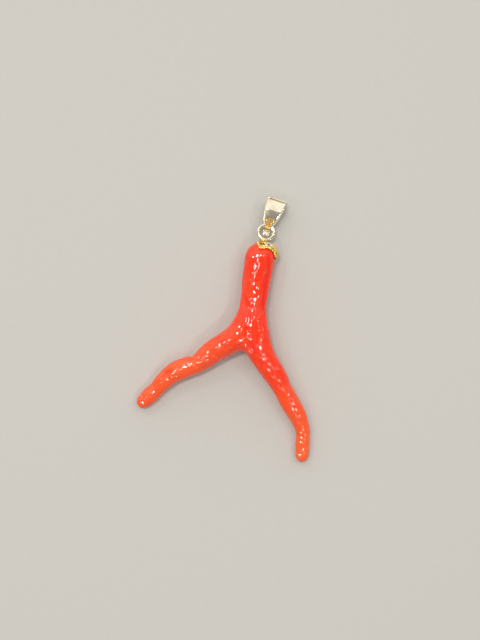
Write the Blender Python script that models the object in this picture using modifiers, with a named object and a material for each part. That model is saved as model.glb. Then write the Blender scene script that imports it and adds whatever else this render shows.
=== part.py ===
"""Red coral branch pendant: a polished coral fork, its gold bell cap, the cap's ring and a tapered bail.

The pendant lies on its back. +Y runs from the fork to the bail, +Z faces the viewer, and the origin is on the
surface it lies on, under the middle of its outline. Lengths are in millimetres, and MM turns them to metres.
"""

import math

import bmesh
import bpy
import numpy as np
from mathutils import Matrix, Vector
from mathutils.bvhtree import BVHTree

MM = 0.001

# Coral branch: x, y, height of the centre line, half width at each station
MAIN_LIMB = (
    (8.98, 19.50, 3.53, 2.90),
    (8.58, 17.60, 3.55, 3.12),
    (8.24, 16.20, 3.59, 3.40),
    (7.92, 14.20, 3.76, 3.30),
    (7.40, 10.98, 3.86, 3.16),
    (6.99, 7.40, 4.00, 3.04),
    (6.60, 4.40, 4.25, 2.98),
    (6.80, 0.80, 4.60, 3.16),
    (7.35, -1.90, 4.62, 3.14),
    (8.00, -4.35, 4.50, 3.00),
    (9.00, -6.50, 4.25, 2.76),
    (10.40, -8.55, 3.95, 2.60),
    (11.85, -10.80, 3.60, 2.40),
    (13.10, -13.10, 3.22, 2.18),
    (14.60, -16.00, 2.78, 2.20),
    (16.18, -18.60, 2.34, 2.08),
    (17.10, -20.50, 2.00, 1.86),
    (17.75, -22.40, 1.76, 1.68),
    (17.98, -24.10, 1.58, 1.56),
    (17.88, -25.90, 1.46, 1.56),
    (17.80, -28.30, 1.40, 1.50),
    (17.52, -30.15, 1.36, 1.36),
)
LEFT_ARM = (
    (6.70, 5.20, 4.15, 2.50),
    (5.90, 2.20, 4.45, 3.05),
    (3.85, -1.10, 4.52, 3.06),
    (0.95, -3.12, 4.25, 2.76),
    (-2.05, -4.95, 3.82, 2.60),
    (-4.65, -6.90, 3.40, 2.36),
    (-6.30, -8.02, 3.14, 2.12),
    (-8.20, -8.55, 2.90, 2.26),
    (-10.55, -9.50, 2.58, 2.28),
    (-12.10, -10.55, 2.34, 2.15),
    (-13.75, -12.10, 2.06, 1.98),
    (-15.20, -13.60, 1.82, 1.78),
    (-16.50, -15.00, 1.75, 1.92),
    (-17.80, -16.25, 1.66, 1.78),
    (-19.10, -17.75, 1.56, 1.42),
)
CORAL_FLATNESS = 0.90  # thickness over width
CORAL_STEP = 1.25
CORAL_SIDES = 20
SPLINE_SAMPLES = 600
END_RINGS = 7
DOME_LENGTH = 2.90  # the stem's rounded top, measured along the stem
DOME_POWERS = (1.8, 0.62)  # of its profile (1 - share^a)^b; a half ellipse has 2 and a half
TIP_POWERS = (2.0, 0.5)
LEFT_ROOT_LENGTH = 1.50  # the left limb's end inside the stem
ARM_TIP_LENGTH = 1.35
BLUNT_TIP = 0.10  # share of the half width left at the very end of a limb
PIECE_GAP = 0.30  # saw cut between the stem and each arm
STEM_CUT_LEFT = ((2.10, -2.25), (-0.86, -0.51))  # place of the cut and direction of the arm
STEM_CUT_RIGHT = ((7.15, -3.60), (0.36, -0.93))
ARM_BOX = (36.0, 12.0, 12.0)  # along the arm, across it, upright
ARM_BOX_FOOT = -1.0  # below the surface

# Bell cap
CAP_CENTRE = (8.30, 16.60, 3.59)
CAP_TURN = math.radians(12.7)  # from +Y towards +X
CAP_DROP = math.radians(12.0)  # towards the surface
CAP_GAP = 0.06
CAP_BULGE = 0.65  # how far the middle of the right-hand lobe stands off beyond that
CAP_SHEET = 0.30
CAP_LOBES = (92.0, 68.0, 74.0, 38.0, 28.0, 46.0, 64.0, 74.0)  # degrees from the pole: right, front, left, under
CAP_LOBE_PHASE = math.radians(4.0)
CAP_NOTCH = 9.0  # degrees that the rim draws in between two lobes
CAP_NOTCH_SHARPNESS = 0.6
CAP_COLUMNS = 40
CAP_ROWS = 8
CAP_SLOTS = 16
CAP_SLOT = (0.28, 0.90, 1.40)  # width, length and the depth of the cut
CAP_SLOT_LIFT = 0.40  # the cut's middle, above the coral
CAP_SLOT_ANGLE = math.radians(36.0)
CAP_SLOT_RIM = math.radians(56.0)  # slots only where the rim is this far from the pole
CAP_SLOT_LEAN = math.radians(6.0)  # step from a slot's middle towards the rim that gives its direction
CAP_FULL_RIM = math.radians(40.0)  # beads only where the rim is at least this far from the pole
RIM_SAMPLES = 721
BEAD_RADIUS = 0.34
BEAD_PITCH = 0.92
BOSS_RADIUS = 0.62
BOSS_HEIGHT = 1.00
BOSS_SIDES = 20
SOLDER_GAP = 0.06

# Ring on the cap
RING_RADIUS = 1.71
RING_WIRE = 0.375
RING_SEGMENTS = (36, 12)  # round the ring, round its wire
RING_CENTRE = (9.610, 21.710)
FITTING_TURN = math.radians(18.0)
RING_SLOPE = math.radians(6.5)
RING_CENTRE_HEIGHT = 2.668

# Bail: stations along it from the ring's wire, and half widths there
BAIL_TILT = math.radians(15.3)
BAIL_SHEET = 0.40
BAIL_BACK = -1.176  # back face, measured from the ring's wire
BAIL_TIP = -2.60
BAIL_END = 5.60
BAIL_DEPTH = 4.70
BAIL_BEND = 0.70
BAIL_BEND_STEPS = (6, 4)  # outside and inside
BAIL_PAD = ((-2.45, 0.85), (-2.60, 0.70))
BAIL_FRONT = (
    (-1.30, 0.85),
    (-1.12, 1.12),
    (-0.72, 2.02),
    (0.68, 4.02),
    (2.40, 4.62),
)
BAIL_CAVITY = (
    (-0.80, 0.40),
    (-0.78, 0.95),
    (-0.43, 1.84),
    (0.90, 3.70),
    (2.47, 4.22),
)
BAIL_ROOM = 3.20  # half the breadth of the side outline before it is tapered
TAPER_MIDDLE = 2.00  # height of the taper's middle above the bail's back, and half its own height
TAPER_ROOM = 4.00
BAIL_WIDTHS = (
    (-2.60, 0.22),
    (-2.45, 0.44),
    (-2.20, 0.58),
    (-1.40, 0.66),
    (-0.35, 0.80),
    (0.90, 1.34),
    (2.65, 1.88),
    (6.30, 2.46),
)

# The outline's middle and lowest point, measured on the built pieces; they are brought to the origin
OUTLINE_MIDDLE = (-0.0745, -0.126, 0.012)

GOLD = (0.83, 0.50, 0.13)
PALE_GOLD = (0.86, 0.76, 0.54)
CORAL_RED = (0.90, 0.055, 0.022)


def finish(name, colour, roughness, metallic):
    """One Principled material."""
    material = bpy.data.materials.new(name)
    material.use_nodes = True
    shader = material.node_tree.nodes["Principled BSDF"]
    shader.inputs["Base Color"].default_value = (*colour, 1.0)
    shader.inputs["Roughness"].default_value = roughness
    shader.inputs["Metallic"].default_value = metallic
    return material


def as_mesh(piece, merge=0.000004):
    """The evaluated piece as a plain mesh object in world space, its caps welded."""
    bpy.context.view_layer.update()
    evaluated = piece.evaluated_get(bpy.context.evaluated_depsgraph_get())
    mesh = bpy.data.meshes.new_from_object(evaluated)
    mesh.transform(piece.matrix_world)
    work = bmesh.new()
    work.from_mesh(mesh)
    bmesh.ops.remove_doubles(work, verts=work.verts, dist=merge)
    bmesh.ops.recalc_face_normals(work, faces=work.faces)
    work.to_mesh(mesh)
    work.free()
    name = piece.name
    bpy.data.objects.remove(piece)
    plain = bpy.data.objects.new(name, mesh)
    parts.objects.link(plain)
    return plain


def boolean(piece, other, operation, solver="EXACT"):
    """Joins, cuts or crops piece by other, applies it, and removes other."""
    modifier = piece.modifiers.new(operation.lower(), "BOOLEAN")
    modifier.operation = operation
    modifier.solver = solver
    modifier.object = other
    done = as_mesh(piece)
    bpy.data.objects.remove(other)
    return done


def copy_of(piece, name):
    """A second object with its own copy of the mesh."""
    twin = bpy.data.objects.new(name, piece.data.copy())
    parts.objects.link(twin)
    return twin


def dress(piece, name, material):
    """Names the piece and gives it its one material and smooth shading."""
    piece.name = name
    piece.data.name = name
    piece.data.materials.clear()
    piece.data.materials.append(material)
    piece.data.shade_smooth()
    piece.data.set_sharp_from_angle(angle=math.radians(35.0))
    return piece


def spline_through(stations, count):
    """Catmull-Rom curve through the stations: each component, the half width too, is the usual cubic blend."""
    points = np.array(stations)
    points = np.vstack((2 * points[0] - points[1], points, 2 * points[-1] - points[-2]))
    spans = len(points) - 3
    position = np.linspace(0.0, spans, count)
    start = np.minimum(position.astype(int), spans - 1)
    t = (position - start)[:, None]
    before, here, there, after = (points[start + k] for k in range(4))
    return 0.5 * (
        2 * here
        + (there - before) * t
        + (2 * before - 5 * here + 4 * there - after) * t**2
        + (3 * here - before - 3 * there + after) * t**3
    )


def limb(name, stations, start_length, start_powers, end_length):
    """A branch: a tube whose half width follows the stations and closes in a rounded profile at each end."""
    dense = spline_through(stations, SPLINE_SAMPLES)
    steps = np.linalg.norm(np.diff(dense[:, :3], axis=0), axis=1)
    along = np.concatenate(([0.0], np.cumsum(steps)))
    total = along[-1]
    quarter = 1.0 - np.cos(np.radians(np.linspace(0.0, 90.0, END_RINGS)))
    middle = np.arange(start_length + CORAL_STEP, total - end_length - 0.5 * CORAL_STEP, CORAL_STEP)
    places = np.concatenate((start_length * quarter, middle, total - end_length * quarter[::-1]))
    points = np.stack([np.interp(places, along, dense[:, k]) for k in range(4)], axis=1)
    ends = ((start_length, start_powers, places), (end_length, TIP_POWERS, total - places))
    for length, (inner, outer), reach in ends:
        share = np.clip(1.0 - reach / length, 0.0, 1.0)
        points[:, 3] *= np.maximum((1.0 - share**inner) ** outer, BLUNT_TIP)
    curve = bpy.data.curves.new(name, "CURVE")
    curve.dimensions = "3D"
    curve.bevel_depth = MM
    curve.bevel_resolution = (CORAL_SIDES - 4) // 2
    curve.use_fill_caps = True
    curve.twist_mode = "Z_UP"
    spline = curve.splines.new("POLY")
    spline.points.add(len(points) - 1)
    for knot, (x, y, z, half_width) in zip(spline.points, points):
        knot.co = (x * MM, y * MM, z * MM / CORAL_FLATNESS, 1.0)
        knot.radius = half_width
    piece = bpy.data.objects.new(name, curve)
    piece.scale.z = CORAL_FLATNESS
    parts.objects.link(piece)
    return as_mesh(piece)


def arm_box(name, cut, gap):
    """A box over one whole arm: it starts at the cut, moved by gap along the arm."""
    (x, y), (along_x, along_y) = cut
    along = Vector((along_x, along_y, 0.0)).normalized()
    length, across, height = ARM_BOX
    middle = Vector((x, y, 0.5 * height + ARM_BOX_FOOT)) + along * (0.5 * length + gap)
    bpy.ops.mesh.primitive_cube_add(size=1.0, location=middle * MM)
    box = bpy.context.object
    box.name = name
    box.rotation_euler.z = math.atan2(along.y, along.x)
    box.scale = (length * MM, across * MM, height * MM)
    return as_mesh(box)


def build_coral():
    """The grown branch, sawn at its fork into the stem and two arms."""
    branch = limb("branch", MAIN_LIMB, DOME_LENGTH, DOME_POWERS, ARM_TIP_LENGTH)
    left = limb("left limb", LEFT_ARM, LEFT_ROOT_LENGTH, TIP_POWERS, ARM_TIP_LENGTH)
    branch = boolean(branch, left, "UNION")
    left_arm = copy_of(branch, "coral_left_arm")
    right_arm = copy_of(branch, "coral_right_arm")
    half_gap = 0.5 * PIECE_GAP
    left_arm = boolean(left_arm, arm_box("left keep", STEM_CUT_LEFT, half_gap), "INTERSECT")
    right_arm = boolean(right_arm, arm_box("right keep", STEM_CUT_RIGHT, half_gap), "INTERSECT")
    stem = boolean(branch, arm_box("left cut", STEM_CUT_LEFT, -half_gap), "DIFFERENCE")
    stem = boolean(stem, arm_box("right cut", STEM_CUT_RIGHT, -half_gap), "DIFFERENCE")
    coral = finish("polished red coral", CORAL_RED, 0.12, 0.0)
    dress(left_arm, "coral_left_arm", coral)
    dress(right_arm, "coral_right_arm", coral)
    return dress(stem, "coral_stem", coral)


def cap_axes():
    """The cap's right-hand direction, its back and its pole, as a matrix's columns."""
    pole = Vector((
        math.sin(CAP_TURN) * math.cos(CAP_DROP),
        math.cos(CAP_TURN) * math.cos(CAP_DROP),
        -math.sin(CAP_DROP),
    ))
    right = Vector((math.cos(CAP_TURN), -math.sin(CAP_TURN), 0.0))
    return Matrix((right, pole.cross(right), pole)).transposed()


def cap_rim_angle(around):
    """How far the rim lies from the pole: each lobe's own angle, eased to its neighbour's, less a sharp notch."""
    lobe = (-around - CAP_LOBE_PHASE) / math.tau * len(CAP_LOBES)
    here = math.floor(lobe)
    share = lobe - here
    eased = share * share * (3.0 - 2.0 * share)
    angles = [CAP_LOBES[(here + step) % len(CAP_LOBES)] for step in (0, 1)]
    notch = CAP_NOTCH * (1.0 - abs(math.cos(math.pi * share)) ** CAP_NOTCH_SHARPNESS)
    return math.radians(angles[0] + (angles[1] - angles[0]) * eased - notch)


def cap_point(tree, angle, around, height):
    """A point above the coral: from the cap's centre along the given direction, height beyond the surface."""
    ring = math.sin(angle)
    ray = cap_axes() @ Vector((ring * math.cos(around), ring * math.sin(around), math.cos(angle)))
    centre = Vector(CAP_CENTRE) * MM
    surface = tree.ray_cast(centre, ray)[0]
    return surface + ray * height * MM


def cap_height(around, share):
    """The sheet's height above the coral, share of the way to the rim: the gap, and the right-hand lobe's bulge."""
    bulge = 6.75 * share * share * (1.0 - share)  # 1 at its highest, two thirds of the way to the rim
    return CAP_GAP + CAP_BULGE * max(0.0, math.cos(around)) ** 2 * bulge


def cap_dome(tree):
    """The cap's sheet: a half sphere whose meridians are drawn in to the lobed rim, laid over the coral."""
    work = bmesh.new()
    bmesh.ops.create_uvsphere(work, u_segments=CAP_COLUMNS, v_segments=2 * CAP_ROWS, radius=1.0)
    lower = [vert for vert in work.verts if vert.co.z < -0.01]
    bmesh.ops.delete(work, geom=lower, context="VERTS")
    for vert in work.verts:
        around = math.atan2(vert.co.y, vert.co.x)
        share = math.acos(min(1.0, vert.co.z)) / (0.5 * math.pi)
        vert.co = cap_point(tree, share * cap_rim_angle(around), around, cap_height(around, share))
    mesh = bpy.data.meshes.new("dome")
    work.to_mesh(mesh)
    work.free()
    dome = bpy.data.objects.new("dome", mesh)
    parts.objects.link(dome)
    sheet = dome.modifiers.new("sheet", "SOLIDIFY")
    sheet.thickness = CAP_SHEET * MM
    sheet.offset = 1.0
    sheet.use_even_offset = False
    return as_mesh(dome)


def cap_beads(tree):
    """Places of the beads: equal steps along the rim."""
    turns = np.linspace(0.0, math.tau, RIM_SAMPLES)
    rim = [cap_point(tree, cap_rim_angle(turn), turn, cap_height(turn, 1.0) + BEAD_RADIUS) for turn in turns]
    rim = np.array([tuple(point) for point in rim])
    along = np.concatenate(([0.0], np.cumsum(np.linalg.norm(np.diff(rim, axis=0), axis=1))))
    count = round(along[-1] / (BEAD_PITCH * MM))
    places = np.arange(count) * along[-1] / count
    around = np.interp(places, along, turns)
    places = places[[cap_rim_angle(turn) > CAP_FULL_RIM for turn in around]]
    return np.stack([np.interp(places, along, rim[:, k]) for k in range(3)], axis=1)


def slot_cutters(tree):
    """Upright boxes round the pole, one for each pierced slot where the rim leaves room, as one object."""
    work = bmesh.new()
    for index in range(CAP_SLOTS):
        around = math.tau * (index + 0.5) / CAP_SLOTS - CAP_LOBE_PHASE
        if cap_rim_angle(around) < CAP_SLOT_RIM:
            continue
        middle = cap_point(tree, CAP_SLOT_ANGLE, around, CAP_SLOT_LIFT)
        outer = cap_point(tree, CAP_SLOT_ANGLE + CAP_SLOT_LEAN, around, CAP_SLOT_LIFT)
        upward = (middle - Vector(CAP_CENTRE) * MM).normalized()
        outward = (outer - middle).normalized()
        sideways = outward.cross(upward).normalized()
        upward = sideways.cross(outward)
        width, length, depth = CAP_SLOT
        size = Matrix.Diagonal((width * MM, length * MM, depth * MM, 1.0))
        turn = Matrix((sideways, outward, upward)).transposed().to_4x4()
        bmesh.ops.create_cube(work, size=1.0, matrix=Matrix.Translation(middle) @ turn @ size)
    bmesh.ops.recalc_face_normals(work, faces=work.faces)
    mesh = bpy.data.meshes.new("slots")
    work.to_mesh(mesh)
    work.free()
    slots = bpy.data.objects.new("slots", mesh)
    cutters.objects.link(slots)
    return slots


def fitting_axes(slope):
    """Right, forward and up of the ring or the bail: forward drops towards the surface by slope."""
    forward = Vector((math.sin(FITTING_TURN), math.cos(FITTING_TURN), 0.0)) * math.cos(slope)
    forward.z = -math.sin(slope)
    right = Vector((math.cos(FITTING_TURN), -math.sin(FITTING_TURN), 0.0))
    return Matrix((right, forward, right.cross(forward))).transposed()


def ring_torus(name, wire):
    """The closed ring; wire is its wire's radius."""
    round_ring, round_wire = RING_SEGMENTS
    bpy.ops.mesh.primitive_torus_add(
        major_radius=RING_RADIUS * MM,
        minor_radius=wire * MM,
        major_segments=round_ring,
        minor_segments=round_wire,
    )
    ring = bpy.context.object
    ring.name = name
    centre = Vector((*RING_CENTRE, RING_CENTRE_HEIGHT)) * MM
    ring.matrix_world = Matrix.Translation(centre) @ fitting_axes(RING_SLOPE).to_4x4()
    return as_mesh(ring)


def build_cap(tree):
    """Dome, pierced slots, rim beads and the boss under the ring, joined in one piece."""
    cap = boolean(cap_dome(tree), slot_cutters(tree), "DIFFERENCE")
    beads = bmesh.new()
    for place in cap_beads(tree):
        spot = Matrix.Translation(Vector(place))
        bmesh.ops.create_icosphere(beads, subdivisions=2, radius=BEAD_RADIUS * MM, matrix=spot)
    mesh = bpy.data.meshes.new("beads")
    beads.to_mesh(mesh)
    beads.free()
    bead_row = bpy.data.objects.new("beads", mesh)
    parts.objects.link(bead_row)
    cap = boolean(cap, bead_row, "UNION", solver="MANIFOLD")  # EXACT loses the dome among so many beads
    foot = cap_point(tree, 0.0, 0.0, CAP_GAP + 0.5 * CAP_SHEET)
    bpy.ops.mesh.primitive_cylinder_add(
        vertices=BOSS_SIDES,
        radius=BOSS_RADIUS * MM,
        depth=BOSS_HEIGHT * MM,
    )
    boss = bpy.context.object
    boss.name = "boss"
    lift = Matrix.Translation(Vector((0.0, 0.0, 0.5 * BOSS_HEIGHT * MM)))
    boss.matrix_world = Matrix.Translation(foot) @ cap_axes().to_4x4() @ lift
    boss = as_mesh(boss)
    cap = boolean(cap, boss, "UNION")
    cap = boolean(cap, ring_torus("ring room", RING_WIRE + SOLDER_GAP), "DIFFERENCE")
    return dress(cap, "cap", finish("yellow gold", GOLD, 0.2, 1.0))


def build_ring():
    """The ring soldered to the cap's pole."""
    return dress(ring_torus("cap_ring", RING_WIRE), "cap_ring", finish("pale gold ring", PALE_GOLD, 0.15, 1.0))


def outline(name, loops, half_depth):
    """A flat shape with its holes, extruded half_depth to both sides; its own X and Y hold the loops."""
    curve = bpy.data.curves.new(name, "CURVE")
    curve.dimensions = "2D"
    curve.fill_mode = "BOTH"
    curve.extrude = half_depth * MM
    for loop in loops:
        spline = curve.splines.new("POLY")
        spline.points.add(len(loop) - 1)
        spline.use_cyclic_u = True
        for knot, (x, y) in zip(spline.points, loop):
            knot.co = (x * MM, y * MM, 0.0, 1.0)
    piece = bpy.data.objects.new(name, curve)
    parts.objects.link(piece)
    return piece


def arc(centre_x, centre_y, radius, start, end, count):
    """Points of an arc; the angles are in degrees."""
    angles = np.radians(np.linspace(start, end, count))
    return [(centre_x + radius * math.cos(a), centre_y + radius * math.sin(a)) for a in angles]


def bail_frame():
    """Where the bail's own axes meet: on the ring's far wire."""
    centre = Vector((*RING_CENTRE, RING_CENTRE_HEIGHT))
    hinge = centre + fitting_axes(RING_SLOPE).col[1] * RING_RADIUS
    return Matrix.Translation(hinge * MM) @ fitting_axes(BAIL_TILT).to_4x4()


def build_bail():
    """A tapered strip bent into a loop: its side outline, less the cavity, cropped by its tapered plan."""
    outer_steps, inner_steps = BAIL_BEND_STEPS
    turn = BAIL_END - BAIL_BEND
    top = BAIL_DEPTH - BAIL_BEND
    side = [(BAIL_TIP, 0.0)]
    side += arc(turn, BAIL_BEND, BAIL_BEND, -90.0, 0.0, outer_steps)
    side += arc(turn, top, BAIL_BEND, 0.0, 90.0, outer_steps)
    side += [*reversed(BAIL_FRONT), *BAIL_PAD]
    inner_bend = BAIL_BEND - BAIL_SHEET
    cavity = [BAIL_CAVITY[0]]
    cavity += arc(turn, BAIL_BEND, inner_bend, -90.0, 0.0, inner_steps)
    cavity += arc(turn, top, inner_bend, 0.0, 90.0, inner_steps)
    cavity += [*reversed(BAIL_CAVITY[1:])]
    loop = outline("bail", (side, cavity), BAIL_ROOM)
    plan = [(half, v) for v, half in BAIL_WIDTHS] + [(-half, v) for v, half in reversed(BAIL_WIDTHS)]
    taper = outline("bail taper", (plan,), TAPER_ROOM)
    frame = bail_frame()
    back = Matrix.Translation(Vector((0.0, 0.0, BAIL_BACK * MM)))
    upright = Matrix(((0.0, 0.0, 1.0), (1.0, 0.0, 0.0), (0.0, 1.0, 0.0))).to_4x4()
    loop.matrix_world = frame @ back @ upright
    taper.matrix_world = frame @ back @ Matrix.Translation(Vector((0.0, 0.0, TAPER_MIDDLE * MM)))
    bail = boolean(as_mesh(loop), as_mesh(taper), "INTERSECT")
    return dress(bail, "bail", finish("pale gold bail", PALE_GOLD, 0.12, 1.0))


for old in list(bpy.data.objects):
    bpy.data.objects.remove(old)
parts = bpy.data.collections.new("red coral branch")
cutters = bpy.data.collections.new("cutters")
bpy.context.scene.collection.children.link(parts)
bpy.context.scene.collection.children.link(cutters)

coral_stem = build_coral()
solid = bmesh.new()
solid.from_mesh(coral_stem.data)
stem_tree = BVHTree.FromBMesh(solid)
solid.free()
build_cap(stem_tree)
build_ring()
build_bail()
for piece in parts.objects:
    piece.data.transform(Matrix.Translation(-Vector(OUTLINE_MIDDLE) * MM))
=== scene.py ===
"""Red coral branch pendant: polished coral fork, pierced gold bell cap with its ring, and a tapered bail.

Lengths are worked out in millimetres and turned to metres where a mesh is made. Places read off the
photograph are pixels of its 480 x 640 frame, which is looked down on at PIXEL millimetres a pixel.
"""

import math

import bmesh
import bpy
import numpy as np
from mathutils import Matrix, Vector


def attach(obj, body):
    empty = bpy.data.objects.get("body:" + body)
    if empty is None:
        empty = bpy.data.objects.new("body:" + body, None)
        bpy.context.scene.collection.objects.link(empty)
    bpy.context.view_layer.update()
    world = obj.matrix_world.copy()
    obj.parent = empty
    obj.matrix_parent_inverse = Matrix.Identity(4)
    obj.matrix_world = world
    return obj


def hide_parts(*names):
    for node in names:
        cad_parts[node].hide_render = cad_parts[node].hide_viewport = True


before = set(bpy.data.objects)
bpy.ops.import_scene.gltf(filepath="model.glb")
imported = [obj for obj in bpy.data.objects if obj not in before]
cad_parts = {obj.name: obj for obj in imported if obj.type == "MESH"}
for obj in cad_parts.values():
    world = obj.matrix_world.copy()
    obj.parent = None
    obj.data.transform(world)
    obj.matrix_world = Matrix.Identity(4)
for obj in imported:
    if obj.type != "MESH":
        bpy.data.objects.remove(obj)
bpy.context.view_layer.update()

MM = 0.001
PIXEL = 0.225
PIXEL_ORIGIN = np.array((223.4, 328.8))  # the pixel of the part's origin
SHIFT = np.array((0.0745, 0.126, -0.012))  # from the frame of the lists below to the part's
TAU = 2.0 * math.pi


def pixel_to_mm(pixels):
    """Place on the part of pixels (x, y): right of the origin pixel, and up from it, by PIXEL each."""
    pixels = np.asarray(pixels, float)
    return (pixels - PIXEL_ORIGIN) * (PIXEL, -PIXEL) + SHIFT[:2]


# Coral branch

# Stations of each limb's centre line in millimetres: x, y, height, half width
MAIN_LIMB = (
    (8.98, 19.50, 3.53, 2.90),
    (8.58, 17.60, 3.55, 3.12),
    (8.24, 16.20, 3.59, 3.40),
    (7.92, 14.20, 3.76, 3.30),
    (7.40, 10.98, 3.86, 3.16),
    (6.99, 7.40, 4.00, 3.04),
    (6.60, 4.40, 4.25, 2.98),
    (6.80, 0.80, 4.60, 3.16),
    (7.35, -1.90, 4.62, 3.14),
    (8.00, -4.35, 4.50, 3.00),
    (9.00, -6.50, 4.25, 2.76),
    (10.40, -8.55, 3.95, 2.60),
    (11.85, -10.80, 3.60, 2.40),
    (13.10, -13.10, 3.22, 2.18),
    (14.60, -16.00, 2.78, 2.20),
    (16.18, -18.60, 2.34, 2.08),
    (17.10, -20.50, 2.00, 1.86),
    (17.75, -22.40, 1.76, 1.68),
    (17.98, -24.10, 1.58, 1.56),
    (17.88, -25.90, 1.46, 1.56),
    (17.80, -28.30, 1.40, 1.50),
    (17.52, -30.15, 1.36, 1.36),
)
LEFT_ARM = (
    (6.70, 5.20, 4.15, 2.50),
    (5.90, 2.20, 4.45, 3.05),
    (3.85, -1.10, 4.52, 3.06),
    (0.95, -3.12, 4.25, 2.76),
    (-2.05, -4.95, 3.82, 2.60),
    (-4.65, -6.90, 3.40, 2.36),
    (-6.30, -8.02, 3.14, 2.12),
    (-8.20, -8.55, 2.90, 2.26),
    (-10.55, -9.50, 2.58, 2.28),
    (-12.10, -10.55, 2.34, 2.15),
    (-13.75, -12.10, 2.06, 1.98),
    (-15.20, -13.60, 1.82, 1.78),
    (-16.55, -14.92, 1.75, 1.84),
    (-17.85, -16.15, 1.66, 1.64),
    (-19.10, -17.65, 1.56, 1.26),
)
FLATNESS = 0.90  # thickness over width
STRETCH = np.array((1.0, 1.0, 1.0 / FLATNESS))
FORK_BLEND = (1.0, 1.0, (242.0, 350.0), 2.2)  # everywhere, more at the crotch, its pixel and its reach
CORAL_VOXEL = 0.120
VOXEL_SQUASH = np.array((1.0, 1.0, 0.62))  # the remesh's space, so that its cells are longer upright
LIMB_POINTS = 420
DOME = (2.90, 1.9, 0.61)  # length and the two powers of the rounded top's profile
LEFT_ROOT = (1.50, 2.0, 0.5)
ARM_TIP = (1.35, 2.0, 0.5)
RELIEF_RADIUS = 4.2  # the limb's radius at which the growth's relief has its full height
CHUNK = 20000  # points measured at a time
STATION_SAMPLES = 900
HALF_WIDTH_SAMPLES = 3000
SMOOTH_ROUNDS = 4
STEEPEST = 0.93  # slope of the radius
TUBE_SHARE = 0.985  # of the limb's radius, for the tube that the remesh starts from
TUBE_SIDES = 32
LEVEL_ROUNDS = 6  # Newton steps on to the branch's field
RAY_STEPS = (3.5, 12, 0.3)  # a ray's first length, its Newton steps, and the least slope that they use
UPPER_SIDE = (3.0, 0.25)  # how fast the grooves come in with the normal's rise, and the flats' least rise
TONE_WAYS = (2.0, 3.0, 5.0)  # how much closer the tone's ripples lie along and round, and their contrast
TIP_TONES = ((30.0, 20.0, 1.0), (4.0, 22.0, 0.7))  # right and left: start along the limb, length, most
HEIGHT_SPAN = 0.16  # millimetres of relief from the deepest to the highest value of the height, whose crests the finish paints paler as a sheen

# Cap
CAP_CENTRE = np.array((8.30, 16.60, 3.59)) + SHIFT
CAP_TURN = math.radians(12.7)  # of its pole, from +Y towards +X
CAP_DROP = math.radians(12.0)  # of its pole, below the level
CAP_GAP = 0.06
CAP_SHEET = 0.30
CAP_BULGE = 1.00
CAP_FULL_RIM = math.radians(40.0)  # beads only where the rim is this far from the pole
# Degrees from the pole to each lobe's end: from the right round over the front, the left and the underside
CAP_LOBES = np.array((92.0, 68.0, 76.0, 39.0, 28.0, 46.0, 64.0, 74.0))
CAP_LOBE_PHASE = math.radians(4.0)
CAP_NOTCH = (9.0, 0.6)  # degrees that the rim draws in between two lobes, and the power of its profile
CAP_SLOTS = 16
CAP_SLOT_RIM = math.radians(56.0)  # slots only where the rim is this far from the pole
CAP_SLOT = (0.30, math.radians(38.0), math.radians(13.0), 0.55)  # half width, middle, half length, lean
CAP_PAINTED_HIGHLIGHT = np.radians((-52.0, 22.0, 10.0, 62.0))  # a painted highlight, a pale patch on the bell: turn, spread, fade's length, its end
CAP_GRID = (64, 288)  # rows from the pole to the rim, columns round it
CAP_KNEE = (0.45, math.radians(30.0), 0.75)  # share of the rows, angle there, its most as a share of the rim
CAP_FAN = (0.30, 0.25, 1.02, 0.12)  # the relief's start and rise, its end and fall, as shares of the way
CAP_RIBS = (24, 0.018)  # count and height
CAP_PETALS = (8, 0.035)
CAP_GRAINS = (0.09, 0.40, 0.24)  # height, place of one crest and pitch, on the right-hand side
CAP_RAISE = 0.03
BEAD_SINK = 0.03  # how deep the beads sit in the rim
SMALL_BEAD = 0.62  # every second bead's share of the radius
BEAD_GRID = (9, 14)  # rows and columns
RIM_SAMPLES = 721
BEAD_RADIUS = 0.31
BEAD_PITCH = 0.92
CROWN_REACH = 2.4  # the coral's recessed top under the cap, coloured near-black there as painted shade, round a point near the pole
CROWN_RECESS = 0.35
CROWN_LIFT = 2.9  # of that point, from the cap's centre towards the pole
CALM_TOP = (2.2, 1.6, 2.4, 0.03)  # no relief under the cap: its middle's lift, start, reach, skin's drop
CROWN_INSET = math.radians(4.0)  # from the cap's rim
CROWN_FADES = (0.5, 0.3)  # millimetres over which the recess and the painted shade come in

# Ring
RING_RADIUS = 1.71
RING_WIRE = 0.405
RING_CENTRE = np.array((9.610, 21.710, 2.668)) + SHIFT
FITTING_TURN = math.radians(18.0)
RING_SLOPE = math.radians(6.5)
RING_GRID = (120, 28)  # round the ring, round its wire
BOSS_SPAN = (-0.15, 0.62, 16)  # from and to this height over the bell, in so many steps
BOSS_RADIUS = (0.56, 0.42, 0.22)  # of its neck, the flare more at its foot, and the flare's length
BOSS_SIDES = 40

# Bail, its stations along it from the ring's wire, and its half widths there
BAIL_TILT = math.radians(15.3)
BAIL_BACK = -1.176
BAIL_SHEET = 0.40
BAIL_WIDTHS = np.array((
    (-2.60, 0.22),
    (-2.45, 0.44),
    (-2.20, 0.58),
    (-1.40, 0.66),
    (-0.35, 0.80),
    (0.90, 1.34),
    (2.65, 1.88),
    (6.30, 2.46),
))


# Meshes

def mesh_object(name, points, faces, scale=MM):
    """An object at the origin, from points times scale and faces."""
    mesh = bpy.data.meshes.new(name)
    mesh.from_pydata((np.asarray(points).reshape(-1, 3) * scale).tolist(), [], np.asarray(faces).tolist())
    mesh.validate()
    piece = bpy.data.objects.new(name, mesh)
    bpy.context.scene.collection.objects.link(piece)
    return piece


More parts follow.
